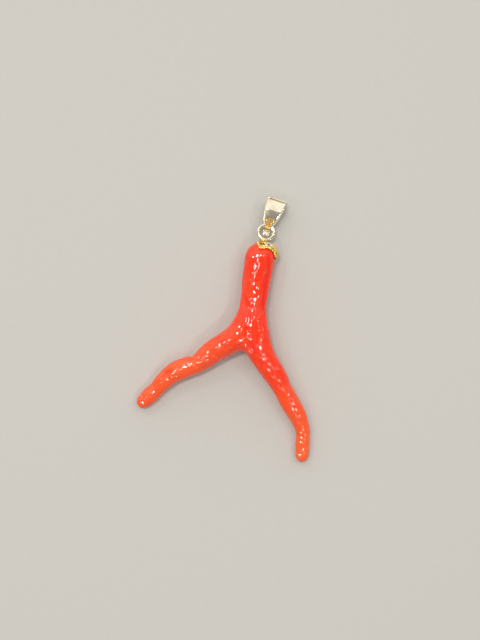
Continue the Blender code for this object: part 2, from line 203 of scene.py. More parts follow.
def grid_faces(rows, columns, wrap_rows=False, keep=None):
    """Quads of a grid whose columns run round; wrapped rows join the last to the first; keep masks cells."""
    row = np.arange(rows if wrap_rows else rows - 1)
    r, c = (a.ravel() for a in np.meshgrid(row, np.arange(columns), indexing="ij"))
    below = (r + 1) % rows * columns
    here = r * columns
    c_next = (c + 1) % columns
    faces = np.stack((here + c, here + c_next, below + c_next, below + c), axis=1)
    return faces if keep is None else faces[keep.ravel()]


def welded(piece, distance=1e-7, turn_out=True):
    """Doubles merged, loose points removed, a closed piece's faces turned outwards, and smooth shading."""
    work = bmesh.new()
    work.from_mesh(piece.data)
    bmesh.ops.remove_doubles(work, verts=work.verts, dist=distance)
    bmesh.ops.dissolve_degenerate(work, edges=work.edges, dist=distance)
    loose = [vert for vert in work.verts if not vert.link_faces]
    bmesh.ops.delete(work, geom=loose, context="VERTS")
    if turn_out:
        bmesh.ops.recalc_face_normals(work, faces=work.faces)
    work.to_mesh(piece.data)
    work.free()
    piece.data.shade_smooth()
    return piece


def applied(piece):
    """The piece with its modifiers made into its mesh."""
    bpy.context.view_layer.update()
    evaluated = piece.evaluated_get(bpy.context.evaluated_depsgraph_get())
    mesh = bpy.data.meshes.new_from_object(evaluated)
    piece.modifiers.clear()
    old = piece.data
    piece.data = mesh
    bpy.data.meshes.remove(old)
    mesh.name = piece.name
    return piece


def vertex_places(mesh):
    """The mesh's points as an (n, 3) array."""
    flat = np.empty(3 * len(mesh.vertices))
    mesh.vertices.foreach_get("co", flat)
    return flat.reshape(-1, 3)


def set_attribute(piece, name, values):
    """A number at each point, for the material."""
    attribute = piece.data.attributes.new(name, "FLOAT", "POINT")
    attribute.data.foreach_set("value", np.asarray(values, np.float32))


# The branch as a field

def spline_through(stations, count):
    """Catmull-Rom curve through the stations: each component is the usual cubic blend of four stations."""
    points = np.array(stations)
    points = np.vstack((2 * points[0] - points[1], points, 2 * points[-1] - points[-2]))
    spans = len(points) - 3
    position = np.linspace(0.0, spans, count)
    start = np.minimum(position.astype(int), spans - 1)
    t = (position - start)[:, None]
    before, here, there, after = (points[start + k] for k in range(4))
    return 0.5 * (
        2 * here
        + (there - before) * t
        + (2 * before - 5 * here + 4 * there - after) * t**2
        + (3 * here - before - 3 * there + after) * t**3
    )


class Limb:
    """Balls strung along a centre line, in the space stretched upright so that the section is round.

    The half width is h(s), with each end rounded by h (1 - share^a)^b. The ball at s is the largest that
    fits within that outline: r(s) is the least sqrt((s - u)^2 + h(u)^2) over all u, then smoothed a little.
    """

    def __init__(self, stations, start, end):
        dense = spline_through(stations, STATION_SAMPLES)
        centres = (dense[:, :3] + SHIFT) * STRETCH
        along = np.concatenate(([0.0], np.cumsum(np.linalg.norm(np.diff(centres, axis=0), axis=1))))
        u = along[-1] * 0.5 * (1.0 - np.cos(np.linspace(0.0, math.pi, HALF_WIDTH_SAMPLES)))
        half = np.interp(u, along, dense[:, 3])
        for (length, inner, outer), reach in ((start, u), (end, along[-1] - u)):
            half = half * (1.0 - np.clip(1.0 - reach / length, 0.0, 1.0) ** inner) ** outer
        self.s = np.linspace(0.03, along[-1] - 0.03, LIMB_POINTS)
        self.c = np.stack([np.interp(self.s, along, centres[:, k]) for k in range(3)], axis=1)
        self.r = np.sqrt(((self.s[:, None] - u) ** 2 + half**2).min(axis=1))
        for _ in range(SMOOTH_ROUNDS):
            self.r[1:-1] = 0.25 * (self.r[:-2] + 2.0 * self.r[1:-1] + self.r[2:])
        self.t = np.gradient(self.c, self.s, axis=0)
        self.t /= np.linalg.norm(self.t, axis=1, keepdims=True)
        self.slope = np.clip(np.gradient(self.r, self.s), -STEEPEST, STEEPEST)

    def relief_share(self, along):
        """How high the relief stands there: in proportion to the radius, so that its slopes stay alike."""
        return np.clip(np.interp(along, self.s, self.r) / RELIEF_RADIUS, 0.0, 1.0)

    def measure(self, points):
        """Distance to the nearest ball's skin, direction from its centre, place along and round the limb.

        The nearest listed ball is found first; then the ball between the listed ones for which
        |p - c(s)| - r(s) is least, with c and r taken as straight lines there.
        """
        near = np.empty(len(points), int)
        for start in range(0, len(points), CHUNK):
            part = points[start:start + CHUNK]
            square = (part**2).sum(1)[:, None] + (self.c**2).sum(1)[None, :] - 2.0 * part @ self.c.T
            near[start:start + CHUNK] = np.argmin(np.sqrt(np.maximum(square, 0.0)) - self.r, axis=1)
        away = points - self.c[near]
        tangent = self.t[near]
        slope = self.slope[near]
        ahead = (away * tangent).sum(1)
        across = np.linalg.norm(away - ahead[:, None] * tangent, axis=1)
        step = ahead + slope * across / np.sqrt(1.0 - slope**2)
        spacing = self.s[1] - self.s[0]
        step = np.clip(step, -spacing, spacing)
        step = np.clip(step, self.s[0] - self.s[near], self.s[-1] - self.s[near])
        away = away - step[:, None] * tangent
        length = np.maximum(np.linalg.norm(away, axis=1), 1e-9)
        direction = away / length[:, None]
        side = np.stack((-tangent[:, 1], tangent[:, 0], np.zeros(len(points))), axis=1)
        side /= np.linalg.norm(side, axis=1, keepdims=True)
        upright = np.cross(side, tangent) * -1.0
        around = np.arctan2((direction * upright).sum(1), (direction * side).sum(1))
        return length - (self.r[near] + slope * step), direction, self.s[near] + step, around


main_limb = Limb(MAIN_LIMB, DOME, ARM_TIP)
left_arm = Limb(LEFT_ARM, LEFT_ROOT, ARM_TIP)


def branch_field(points):
    """Smooth union of the limbs: min(a, b) - h^2 k / 4, h = max(k - |a - b|, 0) / k, and its gradient.

    The blend k is larger about the crotch: k0 + k1 exp(-d^2 / (2 reach^2)), d the level distance from it.
    """
    a, toward_a, along_a, around_a = main_limb.measure(points)
    b, toward_b, along_b, around_b = left_arm.measure(points)
    base, more, pixel, reach = FORK_BLEND
    away = ((points[:, :2] - pixel_to_mm(pixel)) ** 2).sum(1)
    blend = base + more * np.exp(-0.5 * away / reach**2)
    h = np.maximum(blend - np.abs(a - b), 0.0) / blend
    share = np.where(a < b, 0.5 * h, 1.0 - 0.5 * h)  # of the left arm
    field = np.minimum(a, b) - h**2 * blend / 4.0
    gradient = toward_a * (1.0 - share)[:, None] + toward_b * share[:, None]
    return field, gradient, share, (along_a, around_a), (along_b, around_b)


def skin_distance(centre, rays):
    """How far the coral's skin lies from centre along each ray, by Newton steps on the branch's field."""
    start, rounds, least = RAY_STEPS
    reach = np.full(len(rays), start)
    for _ in range(rounds):
        field, gradient, *_ = branch_field((centre + rays * reach[:, None]) * STRETCH)
        reach -= field / np.maximum((gradient * rays * STRETCH).sum(1), least)
    return reach


# Key lamp and camera in metres: the coral's small flats are turned to their half vector
LAMP = np.array((-0.075, 0.115, 0.60))
CAMERA = np.array((3.8145 * MM, 2.106 * MM, 0.240))


def half_vector(place):
    """The normal that mirrors the key lamp to the camera, seen from a place in metres."""
    to_lamp = LAMP - place
    to_camera = CAMERA - place
    both = to_lamp / np.linalg.norm(to_lamp) + to_camera / np.linalg.norm(to_camera)
    return both / np.linalg.norm(both)


# Bands of ripples: least and most turns, shortest and longest wave and height in millimetres, count
GROWTH_BANDS = ((2, 5, 7.0, 16.0, 0.020, 5), (7, 15, 3.0, 8.0, 0.0062, 16), (14, 26, 1.0, 2.4, 0.0017, 18))
# Grooves: paths in pixels, depth and half width in millimetres
GROOVES = (
    (((269.0, 256), (268.2, 266), (266.2, 278), (264.0, 290), (262.6, 302), (262.2, 312)), 0.20, 0.30),
    (((246.0, 256), (244.2, 268), (243.4, 282), (244.2, 296), (247.0, 306)), 0.09, 0.50),
    (((251.5, 300), (250.0, 310), (248.6, 320), (246.6, 328), (245.0, 335)), 0.13, 0.36),
    (((263.6, 316), (262.9, 324), (263.6, 333), (264.6, 341)), 0.10, 0.26),
    (((249.0, 341), (252.0, 347), (256.0, 356), (262.0, 366)), 0.08, 0.34),
    (((266.0, 350), (271.0, 360), (280.0, 372), (285.0, 384)), 0.08, 0.34),
    (((238.0, 345), (228.0, 354), (216.0, 362), (204.0, 367)), 0.08, 0.36),
    (((232.0, 331), (222.0, 341), (211.0, 346), (200.0, 352)), 0.06, 0.36),
    (((289.0, 395), (295.0, 408), (299.0, 420), (300.0, 432)), 0.06, 0.28),
    (((192.0, 358), (180.0, 363), (168.0, 372), (158.0, 383)), 0.06, 0.30),
    (((165.5, 372.5), (171.5, 370.5)), 0.12, 0.40),
)
# Flats that catch the key lamp: pixel x, y, direction of the long axis from +x towards the picture's top,
# long and short half sizes in millimetres, strength
FACETS = (
    (256.2, 256.8, 65, 0.34, 0.17, 1.0),
    (252.7, 258.0, 60, 0.24, 0.16, 1.0),
    (260.9, 256.0, 65, 0.34, 0.17, 1.0),
    (268.0, 257.0, -40, 0.26, 0.15, 0.9),
    (265.2, 252.3, 0, 0.22, 0.15, 0.7),
    (250.6, 260.8, 70, 0.22, 0.14, 0.7),
    (255.4, 260.8, 90, 0.24, 0.14, 0.7),
    (264.6, 272.9, 80, 0.48, 0.22, 1.0),
    (262.0, 271.0, 60, 0.22, 0.14, 0.7),
    (252.5, 274.8, 0, 0.18, 0.16, 0.9),
    (257.4, 277.8, 90, 0.26, 0.14, 0.7),
    (249.9, 280.9, 10, 0.26, 0.13, 0.8),
    (252.7, 283.1, -20, 0.24, 0.14, 0.8),
    (256.8, 288.4, -35, 0.30, 0.15, 0.8),
    (260.9, 292.5, 75, 0.44, 0.17, 0.9),
    (255.2, 299.6, 70, 0.48, 0.20, 1.0),
    (251.4, 303.1, 80, 0.42, 0.16, 0.9),
    (251.8, 310.3, 70, 0.46, 0.15, 1.0),
    (253.3, 313.2, 0, 0.18, 0.15, 0.9),
    (245.2, 312.4, 65, 0.36, 0.16, 1.0),
    (257.1, 317.2, -25, 0.36, 0.14, 0.9),
    (259.1, 310.3, 0, 0.22, 0.14, 0.6),
    (246.0, 321.2, 0, 0.20, 0.16, 0.6),
    (239.2, 326.2, 70, 0.26, 0.18, 1.0),
    (237.0, 332.8, 25, 0.28, 0.18, 1.0),
    (247.9, 335.4, 66, 0.50, 0.24, 1.0),
    (249.5, 338.6, -75, 0.42, 0.17, 1.0),
    (240.0, 340.8, 30, 0.62, 0.18, 1.0),
    (254.7, 333.3, 0, 0.18, 0.15, 0.8),
    (261.0, 327.6, -78, 0.70, 0.15, 1.0),
    (261.9, 335.2, -70, 0.52, 0.17, 1.0),
    (260.8, 339.8, -65, 0.34, 0.17, 1.0),
    (246.2, 345.2, 75, 0.34, 0.16, 0.9),
    (260.2, 347.1, -65, 0.50, 0.19, 1.0),
    (249.9, 349.6, -62, 0.64, 0.19, 1.0),
    (255.8, 350.2, -60, 0.30, 0.16, 0.8),
    (258.5, 355.1, -45, 0.40, 0.17, 0.9),
    (263.6, 358.9, -55, 0.44, 0.17, 1.0),
    (263.8, 365.4, -55, 0.34, 0.17, 0.9),
    (268.8, 363.6, -45, 0.40, 0.17, 1.0),
    (268.8, 369.8, -65, 0.40, 0.17, 1.0),
    (276.0, 368.0, -35, 0.46, 0.17, 1.0),
    (271.1, 375.1, -55, 0.34, 0.17, 0.9),
    (278.8, 379.9, -60, 0.44, 0.18, 1.0),
    (279.3, 386.6, -60, 0.36, 0.17, 0.9),
    (288.3, 394.2, -60, 0.40, 0.17, 1.0),
    (290.2, 398.1, -60, 0.36, 0.17, 1.0),
    (293.1, 403.0, -60, 0.50, 0.16, 1.0),
    (296.2, 409.5, -62, 0.50, 0.16, 1.0),
    (299.5, 416.2, -66, 0.44, 0.16, 1.0),
    (300.8, 432.5, -85, 0.36, 0.17, 1.0),
    (301.3, 437.3, 90, 0.34, 0.17, 1.0),
    (300.8, 442.2, 90, 0.36, 0.17, 1.0),
    (303.6, 449.7, 90, 0.30, 0.17, 0.9),
    (300.0, 455.4, 90, 0.30, 0.18, 1.0),
    (230.7, 346.5, 30, 0.26, 0.15, 0.9),
    (227.9, 346.3, 35, 0.28, 0.15, 0.9),
    (224.7, 348.8, 30, 0.30, 0.15, 0.9),
    (228.7, 340.0, 30, 0.30, 0.15, 0.9),
    (223.9, 342.6, 30, 0.32, 0.15, 0.9),
    (219.4, 343.6, 30, 0.32, 0.15, 0.9),
    (216.7, 347.3, 40, 0.26, 0.15, 0.9),
    (210.7, 344.6, 40, 0.26, 0.15, 0.8),
    (208.0, 351.8, 40, 0.34, 0.18, 1.0),
    (215.9, 356.2, 20, 0.30, 0.16, 0.9),
    (207.6, 360.1, 35, 0.40, 0.17, 1.0),
    (198.8, 357.0, 30, 0.26, 0.16, 0.8),
    (196.0, 366.8, 45, 0.34, 0.16, 0.9),
    (191.2, 363.0, 25, 0.36, 0.18, 1.0),
    (184.2, 366.6, 10, 0.50, 0.18, 1.0),
    (176.0, 375.6, 30, 0.30, 0.16, 0.9),
    (172.4, 376.6, 40, 0.34, 0.17, 1.0),
    (168.6, 379.4, 20, 0.44, 0.17, 1.0),
    (158.5, 387.4, 40, 0.30, 0.16, 0.8),
    (152.9, 392.3, 45, 0.44, 0.17, 1.0),
    (141.6, 396.9, 60, 0.40, 0.17, 1.0),
    (142.3, 403.0, 45, 0.34, 0.17, 1.0),
)
FACET_GROWTH = (1.6, 2.1)  # of the long and of the short half size
FACET_TILT = 1.08  # a little over the flat's slope, which the bell's flanks take back
# Outline nicks: pixel, then depth and half size in millimetres
NICKS = (
    (195.5, 355.7, 0.30, 0.70),
    (151.6, 385.5, 0.22, 0.70),
    (289.0, 384.0, 0.20, 0.80),
)


def path_distance(places, path):
    """Distance from each place (x, y) to a path of straight stretches, all in millimetres."""
    best = np.full(len(places), 1e9)
    for start, end in zip(path[:-1], path[1:]):
        run = end - start
        share = np.clip(((places - start) @ run) / (run @ run), 0.0, 1.0)
        best = np.minimum(best, np.linalg.norm(places - start - share[:, None] * run, axis=1))
    return best


def growth_waves(along, around, seed):
    """Ripples that run with the growth: sum of A cos(m around + k along + phase) over the bands of m."""
    draw = np.random.default_rng(seed)
    height = np.zeros_like(along)
    for low, high, short, long, size, count in GROWTH_BANDS:
        for _ in range(count):
            turns = draw.integers(low, high + 1)
            pace = TAU / draw.uniform(short, long) * draw.choice((-1.0, 1.0))
            height += size * np.cos(turns * around + pace * along + draw.uniform(0.0, TAU))
    return height


def coral_relief(places, normals, share, main_way, left_way):
    """Height above the smooth branch, and how deep in a groove each point lies (0 to 1)."""
    waves = growth_waves(*main_way, 11) * main_limb.relief_share(main_way[0]) * (1.0 - share)
    waves += growth_waves(*left_way, 12) * left_arm.relief_share(left_way[0]) * share
    flat = places[:, :2]
    facing = np.clip(normals[:, 2] * UPPER_SIDE[0], 0.0, 1.0)
    height = waves
    groove = np.zeros(len(places))
    deepest = max(depth for _, depth, _ in GROOVES)
    for path, depth, width in GROOVES:
        line = pixel_to_mm(path)
        bell = np.exp(-0.5 * (path_distance(flat, line) / width) ** 2) * facing
        height = height - depth * bell
        groove = np.maximum(groove, bell * depth / deepest)
    for x, y, depth, size in NICKS:
        away = np.linalg.norm(flat - pixel_to_mm((x, y)), axis=1)
        height -= depth * np.exp(-0.5 * (away / size) ** 2)
    return height, groove


def facet_relief(places, normals):
    """Flats that mirror the lamp: G . (p - c) under exp(-q^4), G the slope from the skin to the flat."""
    height = np.zeros(len(places))
    flatness = np.zeros(len(places))
    flat = places[:, :2]
    upper = normals[:, 2] > UPPER_SIDE[1]
    for x, y, turn, long, short, strength in FACETS:
        centre = pixel_to_mm((x, y))
        offset = flat - centre
        long, short = long * FACET_GROWTH[0], short * FACET_GROWTH[1]
        close = np.flatnonzero((np.abs(offset).max(1) < 2.0 * long) & upper)
        if not len(close):
            continue
        offset = offset[close]
        angle = math.radians(turn)
        u = offset @ (math.cos(angle), math.sin(angle))
        v = offset @ (-math.sin(angle), math.cos(angle))
        bell = np.exp(-(((u / long) ** 2 + (v / short) ** 2) ** 2))
        normal = (normals[close] * bell[:, None]).sum(0)
        place = np.append(centre, (places[close, 2] * bell).sum() / bell.sum()) * MM
        wanted = half_vector(place)
        slope = normal[:2] / normal[2] - wanted[:2] / wanted[2]
        rise = (offset @ slope) * bell * strength * FACET_TILT
        height[close] += rise * normals[close, 2]
        flatness[close] = np.maximum(flatness[close], bell * strength)
    return height, flatness


def limb_tube(limb):
    """A plain tube inside the skin, for the remesh to start from: a circle carried along the limb's line."""
    s = np.concatenate((limb.s[:1], limb.s[::2], limb.s[-1:]))
    c = np.stack([np.interp(s, limb.s, limb.c[:, k]) for k in range(3)], axis=1)
    t = np.stack([np.interp(s, limb.s, limb.t[:, k]) for k in range(3)], axis=1)
    r = np.interp(s, limb.s, limb.r) * TUBE_SHARE
    r[0] = r[-1] = 0.0
    c[0] -= t[0] * limb.r[0] * 0.5
    c[-1] += t[-1] * limb.r[-1] * 0.5
    around = np.linspace(0.0, TAU, TUBE_SIDES, endpoint=False)
    side = np.stack((-t[:, 1], t[:, 0], 0.0 * t[:, 0]), axis=1)
    side /= np.linalg.norm(side, axis=1, keepdims=True)
    up = np.cross(t, side)
    ring = np.cos(around)[None, :, None] * side[:, None] + np.sin(around)[None, :, None] * up[:, None]
    points = (c[:, None] + r[:, None, None] * ring) / STRETCH
    return points, grid_faces(len(s), len(around))


def build_coral():
    """One skin over both limbs: voxel remesh of their tubes, drawn on to the branch's field, and its relief.

    A point moves by gradient * (field / |gradient|^2) in each round, then by the relief along its normal.
    """
    main_points, main_faces = limb_tube(main_limb)
    left_points, left_faces = limb_tube(left_arm)
    points = np.concatenate((main_points.reshape(-1, 3), left_points.reshape(-1, 3)))
    faces = np.concatenate((main_faces, left_faces + main_points.size // 3))
    coral = welded(mesh_object("coral_skin", points * VOXEL_SQUASH, faces, scale=1.0), distance=1e-5)
    remesh = coral.modifiers.new("skin", "REMESH")
    remesh.mode = "VOXEL"
    remesh.voxel_size = CORAL_VOXEL
    applied(coral)
    stretched = vertex_places(coral.data) / VOXEL_SQUASH * STRETCH
    for _ in range(LEVEL_ROUNDS):
        field, gradient, *_ = branch_field(stretched)
        stretched = stretched - gradient * (field / (gradient**2).sum(1))[:, None]
    _, gradient, share, main_way, left_way = branch_field(stretched)
    places = stretched / STRETCH
    normals = gradient * STRETCH
    normals /= np.linalg.norm(normals, axis=1, keepdims=True)
    height, groove = coral_relief(places, normals, share, main_way, left_way)
    flats, flatness = facet_relief(places, normals)
    height = height * (1.0 - flatness) + flats
    set_attribute(coral, "facet", flatness)
    lift, start, reach, drop = CALM_TOP
    from_top = np.linalg.norm((places - CAP_CENTRE - cap_pole * lift), axis=1)
    under_cap = np.clip(start - from_top / reach, 0.0, 1.0)
    height = height * (1.0 - under_cap) - drop * under_cap
    crown = CROWN_REACH - np.linalg.norm(places - CAP_CENTRE - cap_pole * CROWN_LIFT, axis=1)
    x, y, z = ((places - CAP_CENTRE) @ CAP_AXES).T
    inside = cap_rim(np.arctan2(y, x)) - np.arctan2(np.hypot(x, y), z)
    covered = np.clip((inside - CROWN_INSET) / CROWN_INSET, 0.0, 1.0)
    recess_fade, painted_shade_fade = CROWN_FADES
    height -= CROWN_RECESS * np.clip(crown / recess_fade, 0.0, 1.0) * covered
    places = places + normals * height[:, None]
    coral.data.vertices.foreach_set("co", (places * MM).ravel())
    coral.data.update()
    # The groove share is what the finish darkens as painted shade in the grooves
    set_attribute(coral, "groove", groove)
    # The height's crests are what the finish paints paler as a sheen
    set_attribute(coral, "height", np.clip(0.5 + height / HEIGHT_SPAN, 0.0, 1.0))
    closer, tighter, contrast = TONE_WAYS
    ripples = growth_waves(main_way[0] * closer, main_way[1] * tighter, 31) * (1.0 - share)
    ripples += growth_waves(left_way[0] * closer, left_way[1] * tighter, 32) * share
    set_attribute(coral, "growth", np.clip(0.5 + ripples * contrast, 0.0, 1.0))
    tips = [
        np.clip((way[0] - start) / length, 0.0, most)
        for way, (start, length, most) in zip((main_way, left_way), TIP_TONES)
    ]
    set_attribute(coral, "tip", tips[0] * (1.0 - share) + tips[1] * share)
    # Painted shade: the recessed top under the cap is marked to be coloured near-black
    set_attribute(coral, "crown", np.clip(crown / painted_shade_fade, 0.0, 1.0) * covered)
    coral.data.shade_smooth()
    return coral


# Cap

cap_pole = np.array((
    math.sin(CAP_TURN) * math.cos(CAP_DROP),
    math.cos(CAP_TURN) * math.cos(CAP_DROP),
    -math.sin(CAP_DROP),
))
cap_right = np.array((math.cos(CAP_TURN), -math.sin(CAP_TURN), 0.0))
CAP_AXES = np.stack((cap_right, np.cross(cap_pole, cap_right), cap_pole), axis=1)


def cap_rim(around):
    """Angle from the pole to the rim: each lobe's own, eased to its neighbour's, less a notch between."""
    lobe = (-around - CAP_LOBE_PHASE) / TAU * len(CAP_LOBES)
    here = np.floor(lobe).astype(int)
    share = lobe - here
    eased = share * share * (3.0 - 2.0 * share)
    first = CAP_LOBES[here % len(CAP_LOBES)]
    second = CAP_LOBES[(here + 1) % len(CAP_LOBES)]
    depth, power = CAP_NOTCH
    notch = depth * (1.0 - np.abs(np.cos(math.pi * share)) ** power)
    return np.radians(first + (second - first) * eased - notch)


def cap_rays(angle, around):
    """Directions from the cap's centre at an angle from the pole and a turn round it."""
    rays = np.stack((np.sin(angle) * np.cos(around), np.sin(angle) * np.sin(around), np.cos(angle)), axis=-1)
    return rays @ CAP_AXES.T


def cap_height(around, share):
    """The bell's height above the coral, share of the way to its rim: the gap and the right lobe's bulge."""
    bulge = 6.75 * share**2 * (1.0 - share)  # 1 at its highest, two thirds of the way
    return CAP_GAP + CAP_BULGE * np.maximum(np.cos(around), 0.0) ** 2 * bulge


def build_cap():
    """The bell: the coral's skin seen from the cap's centre, raised, from the pole to the lobed rim.

    Ribs and petals are cosines of the turn, grains a cosine of the way to the rim; the slots are the cells
    within an oval of turn and angle.
    """
    rows, columns = CAP_GRID
    around = np.linspace(0.0, TAU, columns, endpoint=False)
    share = np.linspace(0.0, 1.0, rows)
    rim = cap_rim(around)
    knee, knee_angle, knee_share = CAP_KNEE
    inner = np.minimum(knee_angle, knee_share * rim)
    low = share[:, None] / knee * inner
    high = inner + (share[:, None] - knee) / (1.0 - knee) * (rim - inner)
    angle = np.where(share[:, None] < knee, low, high)
    turn = np.broadcast_to(around, angle.shape)
    rays = cap_rays(angle, turn).reshape(-1, 3)
    reach = skin_distance(CAP_CENTRE, rays).reshape(angle.shape) + cap_height(turn, angle / rim)
    start, rise, end, fall = CAP_FAN
    way = share[:, None]
    fan = np.clip((way - start) / rise, 0.0, 1.0) * np.clip((end - way) / fall, 0.0, 1.0)
    for count, size in (CAP_RIBS, CAP_PETALS):
        reach = reach + size * np.cos(count * turn + count * CAP_LOBE_PHASE) * fan
    size, crest, pitch = CAP_GRAINS
    grains = size * np.maximum(np.cos(turn), 0.0) * np.cos(TAU * (way - crest) / pitch)
    reach = reach + (grains + CAP_RAISE) * fan
    points = CAP_CENTRE + rays * reach.reshape(-1, 1)
    cell_turn = turn[:-1] + 0.5 * TAU / columns
    cell_angle = 0.5 * (angle[:-1] + angle[1:])
    width, middle, length, lean = CAP_SLOT
    leaned = cell_turn + CAP_LOBE_PHASE - lean * (cell_angle - middle)
    period = (leaned * CAP_SLOTS / TAU) % 1.0 - 0.5
    slot = (period / width) ** 2 + ((cell_angle - middle) / length) ** 2 < 1.0
    open_rim = np.broadcast_to(rim > CAP_SLOT_RIM, slot.shape)
    faces = grid_faces(rows, columns, keep=~(slot & open_rim))
    cap = welded(mesh_object("cap_bell", points, faces), turn_out=False)
    sheet = cap.modifiers.new("sheet", "SOLIDIFY")
    sheet.thickness = CAP_SHEET * MM
    sheet.offset = 1.0
    sheet.use_even_offset = False
    applied(cap)
    cap.data.shade_smooth()
    local = (vertex_places(cap.data) / MM - CAP_CENTRE) @ CAP_AXES
    turned = np.arctan2(local[:, 1], local[:, 0])
    pole_angle = np.arctan2(np.hypot(local[:, 0], local[:, 1]), local[:, 2])
    # Painted highlight: a pale patch on the bell's upper right
    place, spread, low, high = CAP_PAINTED_HIGHLIGHT
    pale = np.exp(-(((turned - place) / spread) ** 2)) * np.clip((high - pole_angle) / low, 0.0, 1.0)
    set_attribute(cap, "pale", pale)
    return cap


def bead_mesh(name, centres, radius):
    """A small ball at each centre: rows of polar angle, columns of turn."""
    rows, columns = BEAD_GRID
    polar = np.linspace(0.0, math.pi, rows)[:, None]
    around = np.linspace(0.0, TAU, columns, endpoint=False)[None, :]
    level = np.cos(polar) + 0 * around
    ball = np.stack((np.sin(polar) * np.cos(around), np.sin(polar) * np.sin(around), level), -1)
    points = np.asarray(centres)[:, None, None] + ball * np.reshape(radius, (-1, 1, 1, 1))
    faces = grid_faces(rows, columns)
    starts = np.arange(len(centres)) * rows * columns
    return welded(mesh_object(name, points, (faces[None] + starts[:, None, None]).reshape(-1, 4)))


def build_beads():
    """Balls in equal steps along the cap's rim."""
    around = np.linspace(0.0, TAU, RIM_SAMPLES)
    rays = cap_rays(cap_rim(around), around)
    rim = CAP_CENTRE + rays * (skin_distance(CAP_CENTRE, rays) + CAP_GAP + BEAD_RADIUS - BEAD_SINK)[:, None]
    along = np.concatenate(([0.0], np.cumsum(np.linalg.norm(np.diff(rim, axis=0), axis=1))))
    count = round(along[-1] / BEAD_PITCH) * 2
    places = np.arange(count) * along[-1] / count
    centres = np.stack([np.interp(places, along, rim[:, k]) for k in range(3)], axis=1)
    radius = np.where(np.arange(count) % 2 == 0, BEAD_RADIUS, SMALL_BEAD * BEAD_RADIUS)
    full = cap_rim(np.interp(places, along, around)) > CAP_FULL_RIM
    return bead_mesh("cap_beads", centres[full], radius[full])


def fitting_axes(slope):
    """Right, forward and up of the ring or the bail, as columns: forward drops by slope."""
    forward = np.array((
        math.sin(FITTING_TURN) * math.cos(slope),
        math.cos(FITTING_TURN) * math.cos(slope),
        -math.sin(slope),
    ))
    right = np.array((math.cos(FITTING_TURN), -math.sin(FITTING_TURN), 0.0))
    return np.stack((right, forward, np.cross(right, forward)), axis=1)


def build_ring():
    """Torus: a circle of the wire's radius carried round the ring's circle."""
    segments, sides = RING_GRID
    turn = np.linspace(0.0, TAU, segments, endpoint=False)[:, None]
    wire = np.linspace(0.0, TAU, sides, endpoint=False)[None, :]
    out = RING_RADIUS + RING_WIRE * np.cos(wire)
    local = np.stack((out * np.cos(turn), out * np.sin(turn), RING_WIRE * np.sin(wire) + 0 * turn), axis=-1)
    points = RING_CENTRE + local @ fitting_axes(RING_SLOPE).T
    return welded(mesh_object("ring", points, grid_faces(segments, sides, wrap_rows=True)))


def build_boss():
    """Boss: radius a + b exp(-h / c) turned about the cap's pole, from the bell to the ring's near wire."""
    foot = CAP_CENTRE + cap_pole * (skin_distance(CAP_CENTRE, cap_pole[None])[0] + CAP_GAP + CAP_SHEET)
    height = np.linspace(*BOSS_SPAN)
    neck, flare, length = BOSS_RADIUS
    radius = neck + flare * np.exp(-((height - height[0]) / length))
    height = np.concatenate((height[:1], height, height[-1:]))
    radius = np.concatenate(([0.0], radius, [0.0]))
    turn = np.linspace(0.0, TAU, BOSS_SIDES, endpoint=False)[None, :]
    out, level = radius[:, None], height[:, None] + 0 * turn
    local = np.stack((out * np.cos(turn), out * np.sin(turn), level), -1)
    return welded(mesh_object("cap_boss", foot + local @ CAP_AXES.T, grid_faces(len(height), BOSS_SIDES)))


# Bail

# Corners of the bail's middle line, along it and up from its back, and the radius of each bend
BAIL_CORNERS = (
    (-2.38, 0.20, 0.0),
    (5.40, 0.20, 0.50),
    (5.40, 4.50, 0.50),
    (2.44, 4.42, 0.28),
    (0.79, 3.86, 0.20),
    (0.30, 3.04, 0.30),
    (-0.58, 1.93, 0.35),
    (-0.96, 1.03, 0.25),
    (-1.24, 0.62, 0.25),
    (-2.38, 0.60, 0.0),
)
BAIL_LINE = (4.86, 0.12, 0.20)  # the chased line by the far edge: place along the bail, half width, depth
BAIL_LEAN = 0.035  # sideways over forwards
BAIL_GRID = (460, 56)  # along the strip, round its section
BAIL_SQUARE = 9.0  # power of the section's oblong
BAIL_EDGE = (0.07, 0.80)  # share of the half width that is rounded, and the thickness left at its end
BAIL_ENDS = (7.0, 0.15, 0.2)  # steps that an end is rounded over, its least width and thickness there
BAIL_TIP_AWAY = (0.28, 2.2)  # how far the strip's start moves sideways, and over what length
BEND_STEPS = 15
CUT_BACK = 0.48  # of a stretch, the most that a bend takes


def rounded_path(corners, count):
    """Even steps along straight stretches; each corner is a parabola from one cut-back to the other."""
    points = np.array(corners)
    stretches = [points[:1, :2]]
    for before, corner, after in zip(points[:-2], points[1:-1], points[2:]):
        back, ahead = before[:2] - corner[:2], after[:2] - corner[:2]
        size_back, size_ahead = np.linalg.norm(back), np.linalg.norm(ahead)
        start = corner[:2] + back / size_back * min(corner[2], CUT_BACK * size_back)
        end = corner[:2] + ahead / size_ahead * min(corner[2], CUT_BACK * size_ahead)
        t = np.linspace(0.0, 1.0, BEND_STEPS)[:, None]
        stretches.append((1 - t) ** 2 * start + 2 * t * (1 - t) * corner[:2] + t**2 * end)
    line = np.concatenate((*stretches, points[-1:, :2]))
    along = np.concatenate(([0.0], np.cumsum(np.linalg.norm(np.diff(line, axis=0), axis=1))))
    steps = np.linspace(0.0, along[-1], count)
    return np.stack([np.interp(steps, along, line[:, k]) for k in range(2)], axis=1)


